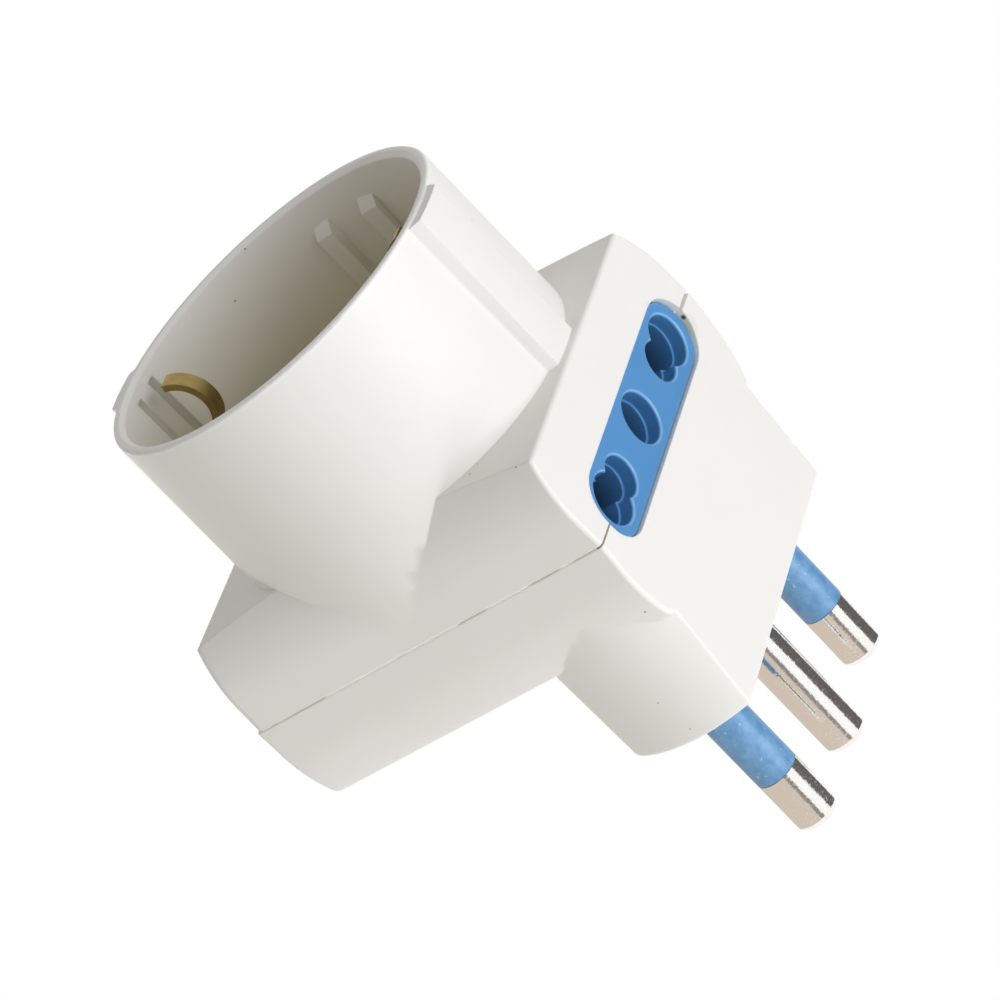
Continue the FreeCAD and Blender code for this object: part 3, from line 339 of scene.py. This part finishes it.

# A yellowish patch beside the near outlet, a dark spot in it, and the specks.
from_yellow_patch = add(tree, "ShaderNodeVectorMath", {"operation": "DISTANCE"}, _0=place, _1=YELLOW_PATCH)
yellow_patch = add(tree, "ShaderNodeMapRange", Value=from_yellow_patch.outputs["Value"],
            From_Min=YELLOW_PATCH_RADIUS, From_Max=0.0, To_Max=0.8)
yellow_patched = add(tree, "ShaderNodeMix", {"data_type": "RGBA"}, Factor=yellow_patch.outputs[0],
              _6=seam_darkened.outputs[2], _7=linear("#C9BE96"))
from_dark_spot = add(tree, "ShaderNodeVectorMath", {"operation": "DISTANCE"}, _0=place, _1=DARK_SPOT)
dark_spot = add(tree, "ShaderNodeMapRange", Value=from_dark_spot.outputs["Value"],
            From_Min=DARK_SPOT_RADIUS, From_Max=DARK_SPOT_RADIUS * 0.4)
dark_spotted = add(tree, "ShaderNodeMix", {"data_type": "RGBA"}, Factor=dark_spot.outputs[0],
             _6=yellow_patched.outputs[2], _7=linear("#4A4236"))
specks = 0.0
for middle, size in SPECKS:
    from_speck = add(tree, "ShaderNodeVectorMath", {"operation": "DISTANCE"},
                     _0=place, _1=middle)
    speck = add(tree, "ShaderNodeMapRange", Value=from_speck.outputs["Value"],
                From_Min=size, From_Max=size * 0.5, To_Max=0.8)
    specks = add(tree, "ShaderNodeMath", {"operation": "MAXIMUM"},
                 _0=specks, _1=speck.outputs[0]).outputs[0]
specked = add(tree, "ShaderNodeMix", {"data_type": "RGBA"}, Factor=specks,
              _6=dark_spotted.outputs[2], _7=linear("#55534F"))

fine = add(tree, "ShaderNodeTexNoise", Vector=place, Scale=1 / WHITE_GRAIN, Detail=2.0)
soft_edge = add(tree, "ShaderNodeBevel", {"samples": 6}, Radius=SHELL_EDGE_RADIUS)
skin = add(tree, "ShaderNodeBump", Strength=0.05, Distance=0.02 * MM,
           Height=fine.outputs["Fac"], Normal=soft_edge.outputs[0])
surface = add(tree, "ShaderNodeBsdfPrincipled", Roughness=0.46, IOR=1.53,
              Base_Color=specked.outputs[2], Normal=skin.outputs[0],
              Subsurface_Weight=0.08, Subsurface_Scale=1.0,
              Subsurface_Radius=(1.2 * MM, 1.1 * MM, 0.9 * MM))
add(tree, "ShaderNodeOutputMaterial", Surface=surface.outputs[0])

for shell in ("front_shell", "rear_shell"):
    put_on(smoothed_copy(f"{shell}_moulding", shell), white, shell)


# The blue outlet inserts: injection-moulded nylon, laid into the ends' openings from inside before
# the shells close. The holes' edges get a painted highlight, and painted shade darkens them
# inside.
ENDS_MIDDLE_X = -14.4 * MM
HOLE_DARK_FROM = 21.6 * MM
HOLE_DARK_BY = 17.5 * MM
MOUTH_EDGE = 23.31 * MM
MOUTH_EDGE_HALF = 0.07 * MM
BLUE_CLOUD = 4.55 * MM
BLUE_GRAIN = MM / 5
INSERT_EDGE_RADIUS = 0.2 * MM

# Moulded nylon: an even mid blue, smoother than the ABS but still satin. Its grain too is drawn
# coarser than the real one, a fifth of a millimetre.
blue = bpy.data.materials.new("moulded_blue_nylon")
blue.use_nodes = True
tree = blue.node_tree
tree.nodes.clear()
place = add(tree, "ShaderNodeTexCoord").outputs["Object"]
clouds = add(tree, "ShaderNodeTexNoise", Vector=place, Scale=1 / BLUE_CLOUD, Detail=3.0)
tone = add(tree, "ShaderNodeMix", {"data_type": "RGBA"}, Factor=clouds.outputs["Fac"],
           _6=linear("#5492C6"), _7=linear("#4C8AC0"))
apart = add(tree, "ShaderNodeSeparateXYZ", Vector=place)
# Painted shade: the holes are drawn darker the deeper they go into the insert.
from_middle = add(tree, "ShaderNodeMath", {"operation": "SUBTRACT"},
                  _0=apart.outputs["X"], _1=ENDS_MIDDLE_X)
outwards = add(tree, "ShaderNodeMath", {"operation": "ABSOLUTE"}, _0=from_middle.outputs[0])
deep = add(tree, "ShaderNodeMapRange", Value=outwards.outputs[0],
           From_Min=HOLE_DARK_FROM, From_Max=HOLE_DARK_BY)
hole_painted_shade = add(tree, "ShaderNodeMix", {"data_type": "RGBA"}, Factor=deep.outputs[0],
            _6=tone.outputs[2], _7=linear("#34496B"))
# Painted highlight: a pale ring round each hole's mouth, where its chamfer catches the light.
at_edge = add(tree, "ShaderNodeMath", {"operation": "COMPARE"},
              _0=outwards.outputs[0], _1=MOUTH_EDGE, _2=MOUTH_EDGE_HALF)
mouth_highlighted = add(tree, "ShaderNodeMix", {"data_type": "RGBA"}, Factor=at_edge.outputs[0],
            _6=hole_painted_shade.outputs[2], _7=linear("#7DB2DF"))
fine = add(tree, "ShaderNodeTexNoise", Vector=place, Scale=1 / BLUE_GRAIN, Detail=2.0)
soft_edge = add(tree, "ShaderNodeBevel", {"samples": 6}, Radius=INSERT_EDGE_RADIUS)
skin = add(tree, "ShaderNodeBump", Strength=0.12, Distance=0.03 * MM,
           Height=fine.outputs["Fac"], Normal=soft_edge.outputs[0])
surface = add(tree, "ShaderNodeBsdfPrincipled", Roughness=0.38, IOR=1.53,
              Base_Color=mouth_highlighted.outputs[2], Normal=skin.outputs[0])
add(tree, "ShaderNodeOutputMaterial", Surface=surface.outputs[0])

for insert in ("socket_insert_right", "socket_insert_left"):
    put_on(smoothed_copy(f"{insert}_moulding", insert), blue, insert)


# The sleeves that insulate the outer pins' roots: the same nylon, moulded round the turned shank.
# They go in and out of outlets with the pins, which has rubbed and flecked them.
BLOTCH = 1.43 * MM
FLECK_SPACING = MM / 1.9
RUBBED_GRAIN = MM / 3.3

# Rubbed nylon: paler and greyer in blotches, with pale flecks and a grain, drawn coarse enough to
# show, that spreads a broad soft highlight.
rubbed = bpy.data.materials.new("rubbed_blue_nylon")
rubbed.use_nodes = True
tree = rubbed.node_tree
tree.nodes.clear()
place = add(tree, "ShaderNodeTexCoord").outputs["Object"]
clouds = add(tree, "ShaderNodeTexNoise", Vector=place, Scale=1 / BLOTCH, Detail=5.0,
             Roughness=0.7)
blotches = add(tree, "ShaderNodeMapRange", Value=clouds.outputs["Fac"],
               From_Min=0.35, From_Max=0.65)
tone = add(tree, "ShaderNodeMix", {"data_type": "RGBA"}, Factor=blotches.outputs[0],
           _6=linear("#4784B4"), _7=linear("#6A9DC4"))
dots = add(tree, "ShaderNodeTexNoise", Vector=place, Scale=1 / FLECK_SPACING, Detail=1.0)
flecks = add(tree, "ShaderNodeMapRange", Value=dots.outputs["Fac"],
             From_Min=0.71, From_Max=0.77, To_Max=0.5)
flecked = add(tree, "ShaderNodeMix", {"data_type": "RGBA"}, Factor=flecks.outputs[0],
              _6=tone.outputs[2], _7=linear("#C5DCEC"))
grain = add(tree, "ShaderNodeTexNoise", Vector=place, Scale=1 / RUBBED_GRAIN, Detail=3.0)
skin = add(tree, "ShaderNodeBump", Strength=0.5, Distance=0.03 * MM,
           Height=grain.outputs["Fac"])
surface = add(tree, "ShaderNodeBsdfPrincipled", Roughness=0.38, IOR=1.53,
              Specular_IOR_Level=1.0, Base_Color=flecked.outputs[2], Normal=skin.outputs[0])
add(tree, "ShaderNodeOutputMaterial", Surface=surface.outputs[0])

for sleeve in ("sleeve_live", "sleeve_neutral"):
    put_on(smoothed_copy(f"{sleeve}_moulding", sleeve), rubbed, sleeve)


# The pins: turned brass with a bright nickel plate, each riveted to its bar inside the lower
# shell. Outlets have scored the plate lengthwise and pitted it.
SCORE_SPACING = MM / 4.2
SCORE_SHORTENING = 0.04
PIT_SPACING = MM / 3.8

# Bright nickel: a near mirror of faintly warm white. The pits and score lines, drawn coarse enough
# to show, break the edges of the dark reflections into grey mottling.
nickel = bpy.data.materials.new("bright_nickel_plate")
nickel.use_nodes = True
tree = nickel.node_tree
tree.nodes.clear()
place = add(tree, "ShaderNodeTexCoord").outputs["Object"]
stretched = add(tree, "ShaderNodeMapping", Vector=place, Scale=(1.0, 1.0, SCORE_SHORTENING))
lines = add(tree, "ShaderNodeTexNoise", Vector=stretched.outputs[0], Scale=1 / SCORE_SPACING,
            Detail=2.0)
scored = add(tree, "ShaderNodeBump", Strength=0.06, Distance=0.02 * MM,
             Height=lines.outputs["Fac"])
pits = add(tree, "ShaderNodeTexNoise", Vector=place, Scale=1 / PIT_SPACING, Detail=4.0)
skin = add(tree, "ShaderNodeBump", Strength=0.5, Distance=0.03 * MM,
           Height=pits.outputs["Fac"], Normal=scored.outputs[0])
scuffs = add(tree, "ShaderNodeMapRange", Value=pits.outputs["Fac"],
             From_Min=0.50, From_Max=0.72, To_Min=0.06, To_Max=0.24)
surface = add(tree, "ShaderNodeBsdfPrincipled", Metallic=1.0, Roughness=scuffs.outputs[0],
              Base_Color=linear("#F8F6F3"), Normal=skin.outputs[0])
add(tree, "ShaderNodeOutputMaterial", Surface=surface.outputs[0])

for pin in ("pin_live", "pin_neutral", "pin_earth"):
    put_on(smoothed_copy(f"{pin}_turning", pin), nickel, pin)


# The earth clips in the collar and everything that carries current inside: strip stamped and bent
# from brass, left bare. The bars lie on posts in the lower shell, and the contacts' studs stand in
# them.
TARNISH = 1.43 * MM

# Bare brass: a dull gold that the air has browned in blotches.
brass = bpy.data.materials.new("stamped_brass")
brass.use_nodes = True
tree = brass.node_tree
tree.nodes.clear()
place = add(tree, "ShaderNodeTexCoord").outputs["Object"]
clouds = add(tree, "ShaderNodeTexNoise", Vector=place, Scale=1 / TARNISH, Detail=4.0)
tone = add(tree, "ShaderNodeMix", {"data_type": "RGBA"}, Factor=clouds.outputs["Fac"],
           _6=linear("#AD9860"), _7=linear("#7C6A3A"))
surface = add(tree, "ShaderNodeBsdfPrincipled", Metallic=1.0, Roughness=0.48,
              Base_Color=tone.outputs[2])
add(tree, "ShaderNodeOutputMaterial", Surface=surface.outputs[0])

for clip in ("earth_clip_right", "earth_clip_left"):
    put_on(smoothed_copy(f"{clip}_strip", clip), brass, clip)
for hidden in ("live_bar", "neutral_bar", "earth_bar", "earth_strap", "earth_riser",
               "right_live_contact", "right_neutral_contact", "right_earth_contact",
               "left_live_contact", "left_neutral_contact", "left_earth_contact",
               "round_live_contact", "round_neutral_contact"):
    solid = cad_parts[hidden]
    solid.data.materials.clear()
    solid.data.materials.append(brass)


# The screw that closes the housing: zinc-plated steel, sunk in the middle of the round outlet's
# floor and driven into the lower shell's boss.
ZINC_CLOUD = 1.11 * MM

# Zinc plate: a pale grey, faintly clouded and half dull.
zinc = bpy.data.materials.new("zinc_plated_steel")
zinc.use_nodes = True
tree = zinc.node_tree
tree.nodes.clear()
place = add(tree, "ShaderNodeTexCoord").outputs["Object"]
clouds = add(tree, "ShaderNodeTexNoise", Vector=place, Scale=1 / ZINC_CLOUD, Detail=3.0)
tone = add(tree, "ShaderNodeMix", {"data_type": "RGBA"}, Factor=clouds.outputs["Fac"],
           _6=linear("#B9BABC"), _7=linear("#A2A3A6"))
surface = add(tree, "ShaderNodeBsdfPrincipled", Metallic=1.0, Roughness=0.35,
              Base_Color=tone.outputs[2])
add(tree, "ShaderNodeOutputMaterial", Surface=surface.outputs[0])
put_on(smoothed_copy("shell_screw_turning", "shell_screw"), zinc, "shell_screw")
